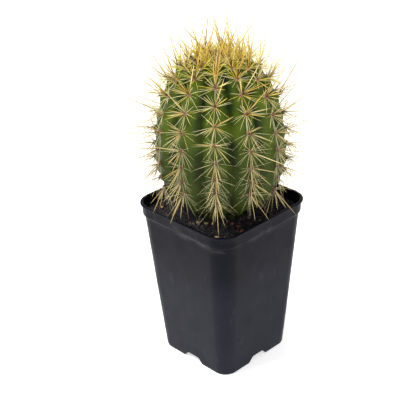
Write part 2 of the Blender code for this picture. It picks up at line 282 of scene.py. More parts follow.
def tube_faces(rings, sides):
    """Quads between rings of points, and a fan to one point past each end. The end points come last."""
    ring = np.arange(sides)
    after = (ring + 1) % sides
    starts = np.arange(rings - 1)[:, None] * sides
    above = starts + sides
    quads = np.stack([starts + ring, starts + after, above + after, above + ring], axis=-1)
    foot = rings * sides
    low = np.stack([after, ring, np.full(sides, foot)], axis=-1)
    top = (rings - 1) * sides
    high = np.stack([top + ring, top + after, np.full(sides, foot + 1)], axis=-1)
    return quads.reshape(-1, 4), np.concatenate([low, high])


def finish(piece, slot, *nodes):
    """Fixes a piece to the body, and has it stand for the CAD nodes. Its slot, the finish's name, is not
    used.
    """
    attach(piece, "root")
    if nodes:
        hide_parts(*nodes)


# ---------------------------------------------------------------- stem


def stem_profile():
    """Distances from the tip, radii and heights down a rib's crest, to the foot in the soil."""
    neck = math.acos((NECK_RADIUS / STEM_RADIUS) ** (BELLY_FULLNESS / 2))
    turns = np.linspace(math.pi / 2, -neck, 1500)
    above = turns > 0
    power = 2 / np.where(above, CROWN_FULLNESS, BELLY_FULLNESS)
    reach = np.where(above, STEM_TOP - WIDEST_LEVEL, BELLY_DEPTH)
    radius = STEM_RADIUS * np.clip(np.cos(turns), 0, 1) ** power
    height = WIDEST_LEVEL + np.sign(turns) * reach * np.abs(np.sin(turns)) ** power
    radius = np.append(radius, [NECK_RADIUS, ROOT_END_RADIUS])
    height = np.append(height, [SOIL_LEVEL - NECK_BELOW_SOIL, STEM_FOOT])
    steps = np.hypot(np.diff(radius), np.diff(height))
    return np.append(0, np.cumsum(steps)), radius, height


PROFILE = stem_profile()


def on_profile(distance):
    """(radius, height) of a crest at a distance from the tip."""
    travel, radius, height = PROFILE
    return np.interp(distance, travel, radius), np.interp(distance, travel, height)


def profile_normal(distance):
    """(outward, upward) parts of the crest's normal at a distance from the tip."""
    step = 0.0008
    radius_before, height_before = on_profile(np.maximum(distance - step, 0))
    radius_after, height_after = on_profile(distance + step)
    across, down = radius_after - radius_before, height_before - height_after
    size = np.hypot(across, down)
    return down / size, across / size


def areole_count(distance):
    """How many areoles a rib has had by a distance from the tip, as a number that grows smoothly."""
    spots = np.linspace(0, PROFILE[0][-1], 600)
    spacing = np.interp(spots, *zip(*AREOLE_SPACINGS))
    counts = np.append(0, np.cumsum(np.diff(spots) / spacing[1:]))
    return np.interp(distance, spots, counts)


def skin(bearing, distance):
    """Points of the stem's skin at bearings from the axis and distances down from the tip."""
    bearing, distance = np.broadcast_arrays(bearing, distance)
    ribs = (bearing - CRESTS[0]) * RIB_COUNT / math.tau
    lobe = np.abs(np.cos(ribs * math.pi))
    half_step = np.round(ribs) % 2 / 2
    radius, height = on_profile(distance)
    out, up = profile_normal(distance)
    groove = GROOVE_DEPTH * radius / STEM_RADIUS * (1 - lobe)
    swelling = SWELLING * lobe**3 * np.cos(math.tau * (areole_count(distance) - half_step - 0.12))
    swelling *= np.clip(radius / STEM_RADIUS * 1.5, 0, 1)
    reach = radius - groove
    flat = np.stack([reach * np.cos(bearing), reach * np.sin(bearing), height], axis=-1)
    age = np.clip(distance / LAST_AREOLE, 0, 1)
    lumps = LUMP_HEIGHT * bumps(flat, LUMP_SIZE)
    wrinkles = WRINKLE_HEIGHT * age**3 * bumps(flat / (4, 4, 1), WRINKLE_SPACING, seed=3)
    lift = swelling + lumps * np.clip(radius / STEM_RADIUS, 0, 1) + wrinkles
    toward = np.stack([out * np.cos(bearing), out * np.sin(bearing), up], axis=-1)
    return flat + lift[..., None] * toward


def build_stem(skin_look):
    length = PROFILE[0][-1]
    distances = np.arange(RING_SPACING, length, RING_SPACING)[::-1]
    columns = RIB_COUNT * COLUMNS_PER_RIB
    bearings = CRESTS[0] + np.arange(columns) * math.tau / columns
    rings = skin(bearings[None, :], distances[:, None])
    ends = np.array([[0, 0, STEM_FOOT], [0, 0, STEM_TOP]])
    lobe = np.abs(np.cos(np.arange(columns) * math.pi / COLUMNS_PER_RIB))
    # How far into a groove each point lies, which the skin's material paints dark as shade.
    groove = np.append(np.tile(1 - lobe, len(distances)), [0, 0])
    age = np.append(np.repeat(distances, columns), [length, 0]) / LAST_AREOLE
    pile = Pile()
    points = np.concatenate([rings.reshape(-1, 3), ends])
    pile.add(points, tube_faces(len(distances), columns), groove=groove, age=age)
    finish(pile.make("stem_skin", skin_look), "stem_skin", "cactus_stem")


# -------------------------------------------------------------- spines


def spine_points(starts, ways, lengths, widths, bends, taper, sides=SPINE_SIDES):
    """Bent needles that taper to a point.

    Gives their points and faces, each point's share of the way to the tip, and the points in one needle.
    """
    count = len(starts)
    along = np.array(SPINE_STEPS)
    thickness = (1 - along) ** taper
    thickness[0] = FOOT_FLARE
    helper = np.where(np.abs(ways[:, 2:]) < 0.9, [[0, 0, 1]], [[1, 0, 0]])
    first = unit(np.cross(ways, helper))
    second = np.cross(ways, first)
    turns = np.arange(sides) * math.tau / sides
    around = first[:, None] * np.cos(turns)[:, None] + second[:, None] * np.sin(turns)[:, None]
    reach = (lengths[:, None] * along)[..., None]
    middles = starts[:, None] + ways[:, None] * reach + bends[:, None] * (along**2)[:, None]
    radii = widths[:, None] / 2 * thickness
    rings = middles[:, :, None] + around[:, None] * radii[..., None, None]
    tips = starts + ways * lengths[:, None] + bends
    points = np.concatenate([rings.reshape(count, -1, 3), starts[:, None], tips[:, None]], axis=1)
    share = np.append(np.repeat(along, sides), [0, 1])
    size = points.shape[1]
    offsets = np.arange(count)[:, None, None] * size
    faces = [(offsets + group).reshape(-1, group.shape[1]) for group in tube_faces(len(along), sides)]
    return points.reshape(-1, 3), faces, np.tile(share, count), size


def kept_clear(starts, ways, lengths):
    """Shorter lengths for the spines that would reach the soil, or the pot's wall below its lip."""
    tips = starts + ways * lengths[:, None]
    floor = SOIL_TOP + SPINE_ABOVE_SOIL
    drop = np.maximum(starts[:, 2] - tips[:, 2], 1e-9)
    share = np.where(tips[:, 2] < floor, (starts[:, 2] - floor) / drop, 1)
    wall = SOIL_HALF - SPINE_TO_WALL
    over_lip = POT_TOP + SPINE_TO_WALL
    for axis in (0, 1):
        for side in (1, -1):
            start, tip = starts[:, axis] * side, tips[:, axis] * side
            past_wall = np.where(start < wall, (wall - start) / np.maximum(tip - start, 1e-9), 0)
            below_lip = np.where(starts[:, 2] > over_lip, (starts[:, 2] - over_lip) / drop, 0)
            stopped = (tip > wall) & (tips[:, 2] < over_lip)
            share = np.where(stopped, np.minimum(share, np.maximum(past_wall, below_lip)), share)
    return lengths * np.clip(share, SHORTEST_SHARE, 1)


def add_spines(pile, starts, ways, lengths, widths, age, foot, stout=0, slot=0, sides=4, droop=0.06):
    """Adds needles to a pile, each with its own tone, and each bent a little and down."""
    count = len(starts)
    lengths = kept_clear(starts, ways, lengths)
    bends = (rng.normal(0, 0.028, (count, 3)) - (0, 0, droop * 0.5)) * lengths[:, None]
    taper = mix(RADIAL_TAPER, CENTRAL_TAPER, np.max(stout))
    points, faces, along, size = spine_points(starts, ways, lengths, widths, bends, taper, sides)
    tone = np.repeat(scattered(0, 1, count), size)
    ages = np.repeat(np.broadcast_to(age, count), size)
    feet = np.repeat(np.broadcast_to(foot, count), size)
    stouts = np.repeat(np.broadcast_to(stout, count), size)
    pile.add(points, faces, slot, along=along, tone=tone, age=ages, foot=feet, stout=stouts)


def areole_places(row):
    """Distances from the tip of a rib's areoles. Every second rib has them half a step on."""
    spots = np.linspace(FIRST_AREOLE, LAST_AREOLE, 3000)
    counts = areole_count(spots)
    half_step = row % 2 / 2
    wanted = np.arange(math.ceil(counts[0] - half_step), counts[-1] - half_step) + half_step
    return np.interp(wanted, counts, spots)


def areole_frame(bearing, distance):
    """An areole's point on the skin, its outward normal, its upward direction and its side direction."""
    out, up = profile_normal(distance)
    point = skin(bearing, distance)
    normal = np.array([out * math.cos(bearing), out * math.sin(bearing), up])
    side = np.array([-math.sin(bearing), math.cos(bearing), 0])
    return point, normal, np.cross(normal, side), side


def add_felt(pile, point, normal, upward, side, age):
    """A low uneven cushion of felt, with short wool standing out of it."""
    turns = np.arange(FELT_SIDES) * math.tau / FELT_SIDES
    tilt = np.linspace(0, 0.42 * math.pi, FELT_LEVELS)[:, None]
    uneven = 1 + scattered(-0.16, 0.16, (FELT_LEVELS, FELT_SIDES))
    across = np.cos(tilt) * np.cos(turns) * AREOLE_WIDTH / 2 * uneven
    along = np.cos(tilt) * np.sin(turns) * AREOLE_LENGTH / 2 * uneven
    lift = np.sin(tilt) * AREOLE_HEIGHT * uneven - AREOLE_HEIGHT * 0.25
    rings = point + across[..., None] * side + along[..., None] * upward + lift[..., None] * normal
    ends = np.stack([point - normal * AREOLE_HEIGHT * 0.3, point + normal * AREOLE_HEIGHT * 0.8])
    points = np.concatenate([rings.reshape(-1, 3), ends])
    faces = tube_faces(FELT_LEVELS, FELT_SIDES)
    height = np.append(np.repeat(np.linspace(0, 1, FELT_LEVELS), FELT_SIDES), [0, 1])
    pile.add(points, faces, 1, along=height, tone=rng.uniform(), age=age, foot=0, stout=0)
    turn = scattered(0, math.tau, WOOL_HAIRS)
    spread = np.sqrt(scattered(0, 1, WOOL_HAIRS)) * 0.95
    inward = np.sqrt(1 - spread**2)
    aside = (np.cos(turn) * spread)[:, None] * side + (np.sin(turn) * spread)[:, None] * upward
    starts = point + aside * AREOLE_WIDTH / 2 + (inward * AREOLE_HEIGHT * 0.5)[:, None] * normal
    ways = unit(aside + normal * 0.7 + rng.normal(0, 0.25, (WOOL_HAIRS, 3)))
    lengths = WOOL_LENGTH * scattered(0.6, 1.4, WOOL_HAIRS)
    widths = np.full(WOOL_HAIRS, WOOL_WIDTH)
    add_spines(pile, starts, ways, lengths, widths, age, 0, slot=1, sides=3)


def grown(age):
    """How far an areole's spines have grown out, from 0 at the tip to 1 a third of the way down."""
    return min(1, age * 3)


def add_radials(pile, point, normal, upward, side, age):
    """A star of thin spines lying low round an areole. Young stars rise, and old ones droop."""
    turn = (np.arange(RADIAL_COUNT) + rng.uniform()) * math.tau / RADIAL_COUNT
    turn = turn + rng.normal(0, 0.12, RADIAL_COUNT)
    turn = turn[scattered(0, 1, RADIAL_COUNT) > mix(*RADIAL_MISSING, age)]
    count = len(turn)
    droop = mix(*RADIAL_DROOP, age**1.4)
    rise = np.tan(np.radians(rng.normal(mix(*RADIAL_RISE_DEGREES, age), 8, count)))
    ways = np.cos(turn)[:, None] * upward + np.sin(turn)[:, None] * side * 1.2
    ways = unit(ways + rise[:, None] * normal - droop * upward + rng.normal(0, 0.06, (count, 3)))
    uneven = 1 + 0.2 * age - mix(*RADIAL_UNEVEN, age) * np.cos(turn)
    length = RADIAL_LENGTH * uneven * scattered(0.60, 1.15, count)
    length *= mix(*RADIAL_GROWTH, grown(age))
    width = RADIAL_WIDTH * mix(*RADIAL_THICKNESS, age) * scattered(0.8, 1.25, count)
    starts = point + ways * AREOLE_WIDTH * 0.22
    add_spines(pile, starts, ways, length, width, age, rng.uniform(0.1, 0.8))


def add_centrals(pile, point, normal, upward, side, age):
    """A few stout spines standing out of an areole. Young ones point up, and old ones hang."""
    count = CENTRAL_COUNT
    turn = (np.arange(count) + rng.uniform()) * math.tau / count + rng.normal(0, 0.3, count)
    spread = scattered(0.2, 0.8, count)
    lean = mix(*CENTRAL_LEAN, age**1.6)
    ways = normal + (np.cos(turn) * spread)[:, None] * upward + (np.sin(turn) * spread)[:, None] * side
    ways = unit(ways + lean * upward)
    longest = mix(YOUNG_CENTRAL, OLD_CENTRAL, age**3)
    length = longest * mix(*CENTRAL_GROWTH, grown(age)) * scattered(0.40, 0.85, count)
    if rng.uniform() < mix(*LONG_CENTRAL_CHANCE, grown(age)):
        length[0] = longest * rng.uniform(0.80, 1.15)
    width = CENTRAL_WIDTH * (0.35 + 0.60 * length / longest) * mix(*CENTRAL_THICKNESS, age**3)
    starts = point + normal * AREOLE_HEIGHT * 0.3 + ways * AREOLE_WIDTH * 0.1
    foot = scattered(0.2, 1, count)
    add_spines(pile, starts, ways, length, width, age, foot, stout=1, sides=SPINE_SIDES)


def build_spine_rows(horn, felt):
    for row, name in enumerate(ROWS):
        pile = Pile()
        for distance in areole_places(row):
            age = distance / LAST_AREOLE
            place = areole_frame(CRESTS[row], distance)
            add_felt(pile, *place, age)
            add_radials(pile, *place, age)
            add_centrals(pile, *place, age)
        finish(pile.make(name.replace("row", "fans"), horn, felt), "spine_horn", name)


def build_crown(horn, felt):
    """The woolly tip: young areoles crowded together, and a dense tuft of upright golden spines."""
    pile = Pile()
    turn = np.arange(TUFT_COUNT) * math.pi * (3 - math.sqrt(5))
    distance = TUFT_RADIUS * np.sqrt((np.arange(TUFT_COUNT) + 0.5) / TUFT_COUNT)
    starts = skin(turn, distance)
    out = np.stack([np.cos(turn), np.sin(turn), np.zeros(TUFT_COUNT)], axis=-1)
    long = np.arange(TUFT_COUNT) % TUFT_ONE_LONG_IN == TUFT_ONE_LONG_IN // 2
    lean = np.where(long, 0.10, 0.30) + np.where(long, 0.80, 1.30) * distance / TUFT_RADIUS
    stray = rng.normal(0, 1, (TUFT_COUNT, 3)) * (0.55, 0.55, 0.1) * np.where(long, 0.4, 1)[:, None]
    ways = unit(out * lean[:, None] + (0, 0, 1) + stray)
    length = np.where(long, TUFT_LONGEST, TUFT_LENGTH) * scattered(0.6, 1.0, TUFT_COUNT)
    width = np.where(long, CENTRAL_WIDTH, TUFT_WIDTH)
    foot = np.where(distance < TUFT_RADIUS / 3, 1, scattered(0, 0.9, TUFT_COUNT))
    add_spines(pile, starts, ways, length, width, 0, foot, stout=np.where(long, 1, 0.3), droop=0)
    for index in range(0, TUFT_COUNT, TUFT_FELT_EVERY):
        place = areole_frame(turn[index], distance[index])
        add_felt(pile, *place, 0.05)
    finish(pile.make("crown_tuft", horn, felt), "spine_horn", "crown_spines")


# ----------------------------------------------------------------- pot


def rounded_square(half, radius, columns):
    """(x, y) around a rounded square, at evenly spaced bearings."""
    bearings = np.arange(columns) * math.tau / columns
    cos, sin = np.abs(np.cos(bearings)), np.abs(np.sin(bearings))
    flat = half / np.maximum(cos, sin)
    centre = half - radius
    toward = centre * (cos + sin)
    corner = toward + np.sqrt(np.maximum(toward**2 - 2 * centre**2 + radius**2, 0))
    reach = np.where(np.minimum(cos, sin) * flat > centre, corner, flat)
    return np.stack([np.cos(bearings) * reach, np.sin(bearings) * reach], axis=-1)


def corner_radius(height):
    return mix(BASE_CORNER_RADIUS, TOP_CORNER_RADIUS, height / POT_TOP)


def rounded_outline(corners, steps=4):
    """An outline through (x, y, rounding) corners, each one rounded off. Its two ends stay as they are."""
    outline = [np.array(corners[0][:2])]
    for before, here, after in zip(corners, corners[1:], corners[2:]):
        corner, rounding = np.array(here[:2]), here[2]
        start = corner + unit(np.array(before[:2]) - corner) * rounding
        end = corner + unit(np.array(after[:2]) - corner) * rounding
        for share in np.linspace(0, 1, steps):
            outline.append(mix(mix(start, corner, share), mix(corner, end, share), share))
    outline.append(np.array(corners[-1][:2]))
    return outline


def pot_section():
    """(half width, height) from under the pot, out, up, over the lip and down to its floor."""
    lip = POT_HALF
    band = lip - LIP_OVERHANG
    body_top = band - BAND_OVERHANG
    band_level = POT_TOP - BAND_HEIGHT
    step_top = band_level + BAND_STEP_HEIGHT
    raised = BASE_WIDTH / 2 - FOOT_RING_WIDTH
    floor_top = FOOT_RING_HEIGHT + POT_WALL
    floor_half = mix(BASE_WIDTH / 2, body_top, floor_top / band_level) - POT_WALL
    corners = [
        (raised / 2, FOOT_RING_HEIGHT, 0),
        (raised - FOOT_RING_HEIGHT / 2, FOOT_RING_HEIGHT, EDGE_ROUNDING),
        (raised, 0, EDGE_ROUNDING),
        (BASE_WIDTH / 2, 0, BASE_ROUNDING),
        (body_top, band_level, EDGE_ROUNDING),
        (band - BAND_FLARE, step_top, EDGE_ROUNDING),
        (band, POT_TOP - LIP_THICKNESS, EDGE_ROUNDING),
        (lip, POT_TOP - LIP_THICKNESS * 0.8, EDGE_ROUNDING / 2),
        (lip, POT_TOP, EDGE_ROUNDING),
        (band - POT_WALL, POT_TOP, EDGE_ROUNDING),
        (band - BAND_FLARE - POT_WALL, step_top, EDGE_ROUNDING),
        (body_top - POT_WALL, band_level, EDGE_ROUNDING),
        (floor_half, floor_top, BASE_ROUNDING),
        (floor_half / 2, floor_top, 0),
    ]
    outline = rounded_outline(corners)
    section = []
    for start, end in zip(outline, outline[1:]):
        steps = max(1, round(np.linalg.norm(end - start) / POT_RING_SPACING))
        section += [mix(start, end, step / steps) for step in range(steps)]
    return section + [outline[-1]]


def pot_rings():
    """The section swept round the pot. The sides bow and wave a little, as thin moulded walls do."""
    rings = []
    inside = False
    for half, height in pot_section():
        inside = inside or height >= POT_TOP
        radius = min(corner_radius(height) - (POT_WALL if inside else 0), half * 0.6)
        square = rounded_square(half, radius, POT_COLUMNS)
        middle = 1 - (np.abs(square).min(axis=1) / half) ** 2
        bow = WALL_BOW * math.sin(math.pi * min(1, height / (POT_TOP - BAND_HEIGHT))) * middle
        around = np.column_stack([unit(square) * POT_HALF, np.full(len(square), height)])
        waves = WALL_WAVES * bumps(around, WALL_WAVE_SIZE)
        place = square + unit(square) * (bow + waves)[:, None]
        rings.append(np.column_stack([place, np.full(POT_COLUMNS, height)]))
    return rings


def drain_cutter(margin):
    """Four rounded trapezoid blocks, one through the foot of each side."""
    low, high = -2 * DRAIN_HEIGHT, DRAIN_HEIGHT + margin
    wide, narrow = DRAIN_WIDTH / 2 + margin, DRAIN_TOP_WIDTH / 2 + margin
    corners = [(0, low, 0), (wide, low, 0), (wide, 0, 0)]
    corners += [(narrow, high, DRAIN_ROUNDING), (-narrow, high, DRAIN_ROUNDING)]
    corners += [(-wide, 0, 0), (-wide, low, 0), (0, low, 0)]
    outline = np.array(rounded_outline(corners))[:-1]
    pile = Pile()
    for quarter in range(4):
        turn = np.array(Matrix.Rotation(quarter * math.pi / 2, 3, "Z"))
        blocks = []
        for reach in (BASE_WIDTH / 2 - DRAIN_DEPTH - margin, BASE_WIDTH):
            blocks.append(np.column_stack([outline[:, 0], np.full(len(outline), -reach), outline[:, 1]]))
        ends = np.array([block.mean(axis=0) for block in blocks])
        pile.add(np.concatenate(blocks + [ends]) @ turn.T, tube_faces(2, len(outline)))
    return pile.make("drain_cutter")


def with_drains(piece, margin):
    """Cuts the drain arches out of a piece."""
    cutter = drain_cutter(margin)
    cut = piece.modifiers.new("drains", "BOOLEAN")
    cut.operation = "DIFFERENCE"
    cut.object = cutter
    evaluated = piece.evaluated_get(bpy.context.evaluated_depsgraph_get())
    mesh = bpy.data.meshes.new_from_object(evaluated)
    piece.modifiers.clear()
    piece.data = mesh
    bpy.data.objects.remove(cutter)
    return piece


def build_pot(plastic):
    rings = pot_rings()
    ends = np.array([[0, 0, FOOT_RING_HEIGHT], [0, 0, FOOT_RING_HEIGHT + POT_WALL]])
    pile = Pile()
    pile.add(np.concatenate(rings + [ends]), tube_faces(len(rings), POT_COLUMNS))
    shell = with_drains(pile.make("pot_shell", plastic), 0)
    shell.data.set_sharp_from_angle(angle=SHARP_ANGLE)
    finish(shell, "pot_plastic", "pot")


# ---------------------------------------------------------------- soil


def soil_height(places):
    """The soil's height at (x, y) places: a low mound, rough all over."""
    reach = np.linalg.norm(places, axis=-1) / SOIL_HALF
    flat = np.concatenate([places, np.zeros(places.shape[:-1] + (1,))], axis=-1)
    rough = 0.6 * bumps(flat, 0.0060) + 0.4 * bumps(flat, 0.0022, seed=1)
    return SOIL_LEVEL + SOIL_MOUND * np.clip(1 - reach, 0, 1) + SOIL_ROUGHNESS * (rough - 0.25)


def soil_corner_radius():
    """The radius of the rounded corners of the CAD soil's rim."""
    points = node_points("soil")
    reach = np.hypot(points[:, 0], points[:, 1]).max()
    return (SOIL_HALF * math.sqrt(2) - reach) / (math.sqrt(2) - 1)


def build_soil(peat):
    radius = soil_corner_radius()
    points = node_points("soil")
    foot_half = points[points[:, 2] < SOIL_FOOT + CLEARANCE, 0].max()
    square = rounded_square(SOIL_HALF, radius, SOIL_COLUMNS)
    foot = rounded_square(foot_half, radius * foot_half / SOIL_HALF, SOIL_COLUMNS)
    bearings = np.arange(SOIL_COLUMNS) * math.tau / SOIL_COLUMNS
    circle = np.stack([np.cos(bearings), np.sin(bearings)], axis=-1)
    rings = [np.column_stack([foot, np.full(SOIL_COLUMNS, SOIL_FOOT)])]
    for share in np.linspace(0, 1, SOIL_RINGS):
        places = mix(square, circle * (NECK_RADIUS + CLEARANCE), share)
        height = soil_height(places)
        rings.append(np.column_stack([places, height]))
    socket = (
        (NECK_RADIUS + CLEARANCE, SOIL_LEVEL - NECK_BELOW_SOIL),
        (ROOT_END_RADIUS + CLEARANCE, STEM_FOOT - CLEARANCE),
    )
    for reach, height in socket:
        rings.append(np.column_stack([circle * reach, np.full(SOIL_COLUMNS, height)]))
    ends = np.array([[0, 0, SOIL_FOOT], [0, 0, STEM_FOOT - CLEARANCE]])
    pile = Pile()
    pile.add(np.concatenate(rings + [ends]), tube_faces(len(rings), SOIL_COLUMNS))
    finish(with_drains(pile.make("soil_bed", peat), CLEARANCE), "peat", "soil")


def lump_points(count):
    """Uneven lumps about 1 across: twelve corners of an icosahedron each, moved at random."""
    golden = (1 + math.sqrt(5)) / 2
    corners = [(0, a, b * golden) for a in (-1, 1) for b in (-1, 1)]
    corners += [(a, b * golden, 0) for a in (-1, 1) for b in (-1, 1)]
    corners += [(b * golden, 0, a) for a in (-1, 1) for b in (-1, 1)]
    corners = unit(np.array(corners)) / 2
    return corners * scattered(0.65, 1.3, (count, 12, 1))


def lump_faces():
    """The triangles of the icosahedron, facing out, found from which corners are neighbours."""
    corners = lump_points(1)[0]
    corners = unit(corners)
    near = np.linalg.norm(corners[:, None] - corners, axis=-1) < 1.2
    faces = []
    for a in range(12):
        for b in range(a + 1, 12):
            for c in range(b + 1, 12):
                if near[a, b] and near[b, c] and near[a, c]:
                    outward = np.linalg.det(corners[[a, b, c]]) > 0
                    faces.append((a, b, c) if outward else (a, c, b))
    return np.array(faces)


def turned(points, count):
    """Each group of points turned at random about its own middle."""
    axes = unit(rng.normal(size=(count, 3)))
    angles = scattered(0, math.tau, (count, 1, 1))
    axis = axes[:, None]
    cross = np.cross(axis, points)
    dot = (points * axis).sum(axis=-1, keepdims=True)
    return points * np.cos(angles) + cross * np.sin(angles) + axis * dot * (1 - np.cos(angles))


def soil_places(count, margin):
    """Random (x, y) places on the soil between the stem's neck and the pot's wall."""
    half = SOIL_HALF - margin
    places = rng.uniform(-half, half, (count * 3, 2))
    reach = np.linalg.norm(places, axis=1)
    corner = np.abs(places).sum(axis=1)
    free = (reach > NECK_RADIUS + margin) & (corner < half * CORNER_REACH)
    return places[free][:count]


def build_crumbs(peat_crumb):
    places = soil_places(CRUMB_COUNT, 0.0016)
    count = len(places)
    size = CRUMB_SMALLEST + CRUMB_RANGE * scattered(0, 1, count) ** 3.2
    shape = lump_points(count) * size[:, None, None] * scattered(0.55, 1.3, (count, 1, 3))
    middle = np.column_stack([places, soil_height(places) + size * 0.22])
    points = turned(shape, count) + middle[:, None]
    faces = (np.arange(count)[:, None, None] * 12 + lump_faces()).reshape(-1, 3)
    tone = np.repeat(scattered(0, 1, count), 12)
    pile = Pile()
    pile.add(points.reshape(-1, 3), [faces], tone=tone)
    finish(pile.make("peat_crumbs", peat_crumb, smooth=False), "peat")


def build_fibres(fibre):
    places = soil_places(FIBRE_COUNT, 0.0060)
    count = len(places)
    turn = scattered(0, math.tau, count)
    ways = unit(np.column_stack([np.cos(turn), np.sin(turn), scattered(0.0, 0.25, count)]))
    starts = np.column_stack([places, soil_height(places) + 0.0005])
    lengths = scattered(0.0020, 0.0065, count)
    widths = scattered(0.00022, 0.0005, count)
    bends = rng.normal(0, 0.16, (count, 3)) * (1, 1, 0.2) * lengths[:, None]
    points, faces, along, size = spine_points(starts, ways, lengths, widths, bends, RADIAL_TAPER, sides=4)
    pile = Pile()
    pile.add(points, faces, along=along, tone=np.repeat(scattered(0, 1, count), size))
    finish(pile.make("peat_fibres", fibre), "peat")


def build_chip(name, look, slot):
    """A CAD chip made finer, and roughened as broken bark, wood or perlite is."""
    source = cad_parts[name].data
    piece = bpy.data.objects.new(name.replace("chip", "flake").replace("grain", "lump"), source.copy())
    bpy.context.scene.collection.objects.link(piece)
    finer = piece.modifiers.new("finer", "SUBSURF")
    finer.subdivision_type = "SIMPLE"
    finer.levels = finer.render_levels = 3
    evaluated = piece.evaluated_get(bpy.context.evaluated_depsgraph_get())
    mesh = bpy.data.meshes.new_from_object(evaluated)
    piece.modifiers.clear()
    piece.data = mesh
    for vertex in mesh.vertices:
        rough = noise.noise(vertex.co / 0.0007) * 0.00010 + noise.noise(vertex.co / 0.0018) * 0.00018
        vertex.co += vertex.normal * rough
    mesh.materials.clear()
    mesh.materials.append(look)
    finish(piece, slot, name)


# ------------------------------------------------------------ materials

# The places of a Mix node's share and colour sockets, whose names its other sockets have too.
MIX_SHARE = 0
MIX_FIRST = 6
MIX_SECOND = 7
MIX_RESULT = 2


class Look:
    """A material in the making. Each method adds a node and gives its output."""

    def __init__(self, name, roughness, specular=0.5):
        self.material = bpy.data.materials.new(name)
        self.material.use_nodes = True
        self.tree = self.material.node_tree
        self.shader = self.tree.nodes["Principled BSDF"]
        self.set("Roughness", roughness)
        self.set("Specular IOR Level", specular)

    def set(self, name, value):
        self.feed(self.shader.inputs[name], value)

    def feed(self, socket, value):
        if isinstance(value, bpy.types.NodeSocket):
            self.tree.links.new(value, socket)
        else:
            socket.default_value = value

    def number(self, name):
        """A number that the mesh has on each vertex."""
        node = self.tree.nodes.new("ShaderNodeAttribute")
        node.attribute_name = name
        return node.outputs["Fac"]

    def noise(self, size, detail=3, stretch=(1, 1, 1)):
        """Noise from 0 to 1 with lumps of this size, longer along the axes that stretch names."""
        place = self.tree.nodes.new("ShaderNodeTexCoord")
        scale = self.tree.nodes.new("ShaderNodeMapping")
        texture = self.tree.nodes.new("ShaderNodeTexNoise")
        self.feed(scale.inputs["Vector"], place.outputs["Object"])
        self.feed(scale.inputs["Scale"], [1 / factor for factor in stretch])
        self.feed(texture.inputs["Vector"], scale.outputs["Vector"])
        self.feed(texture.inputs["Scale"], 1 / size)
        self.feed(texture.inputs["Detail"], detail)
        return texture.outputs["Fac"]

    def level(self):
        """The height above the floor, in metres."""
        place = self.tree.nodes.new("ShaderNodeTexCoord")
        split = self.tree.nodes.new("ShaderNodeSeparateXYZ")
        self.feed(split.inputs["Vector"], place.outputs["Object"])
        return split.outputs["Z"]

    def ramp(self, value, *stops):
        """Colours or greys over a number: each stop is its place and what it has there."""
        node = self.tree.nodes.new("ShaderNodeValToRGB")
        elements = node.color_ramp.elements
        while len(elements) < len(stops):
            elements.new(1)
        for element, (place, color) in zip(elements, stops):
            element.position = place
            element.color = (*color, 1) if isinstance(color, tuple) else (color, color, color, 1)
        self.feed(node.inputs["Fac"], value)
        return node.outputs["Color"]

    def mixed(self, share, first, second, blend="MIX"):
        node = self.tree.nodes.new("ShaderNodeMix")
        node.data_type = "RGBA"
        node.blend_type = blend
        self.feed(node.inputs[MIX_SHARE], share)
        for place, color in ((MIX_FIRST, first), (MIX_SECOND, second)):
            self.feed(node.inputs[place], (*color, 1) if isinstance(color, tuple) else color)
        return node.outputs[MIX_RESULT]

    def maths(self, operation, first, second=0.5):
        node = self.tree.nodes.new("ShaderNodeMath")
        node.operation = operation
        self.feed(node.inputs[0], first)
        self.feed(node.inputs[1], second)
        return node.outputs[0]

    def bump(self, height, depth):
        """Makes the surface look raised by up to depth where height is 1."""
        node = self.tree.nodes.new("ShaderNodeBump")
        self.feed(node.inputs["Height"], height)
        self.feed(node.inputs["Distance"], depth)
        self.set("Normal", node.outputs["Normal"])


def stem_look():
    look = Look("stem_skin", 0.46, specular=0.10)
    # Darker down into the grooves between the ribs: painted shade in the creases.
    color = look.ramp(
        look.number("groove"),
        (0.0, (0.042, 0.061, 0.004)),
        (0.28, (0.043, 0.072, 0.003)),
        (0.60, (0.014, 0.030, 0.002)),
        (1.0, (0.002, 0.005, 0.001)),
    )
    patches = look.ramp(look.noise(0.016, detail=2), (0.42, 0), (0.66, 1))
    color = look.mixed(look.maths("MULTIPLY", patches, 0.55), color, (0.095, 0.145, 0.006))
    # Darker and greyer towards the foot: partly old skin, partly painted shade under the belly.
    old = look.ramp(look.number("age"), (0.50, 0), (1.0, 1))
    color = look.mixed(look.maths("MULTIPLY", old, 0.80), color, (0.015, 0.020, 0.006))
    pores = look.ramp(look.noise(0.00065, detail=2), (0.56, 0), (0.68, 1))
    color = look.mixed(look.maths("MULTIPLY", pores, 0.20), color, (0.12, 0.17, 0.05))
    look.set("Base Color", color)
    look.set("Roughness", look.ramp(look.noise(0.004), (0.3, 0.38), (0.7, 0.56)))
    look.bump(look.noise(0.0009, detail=4), 0.00010)
    return look.material


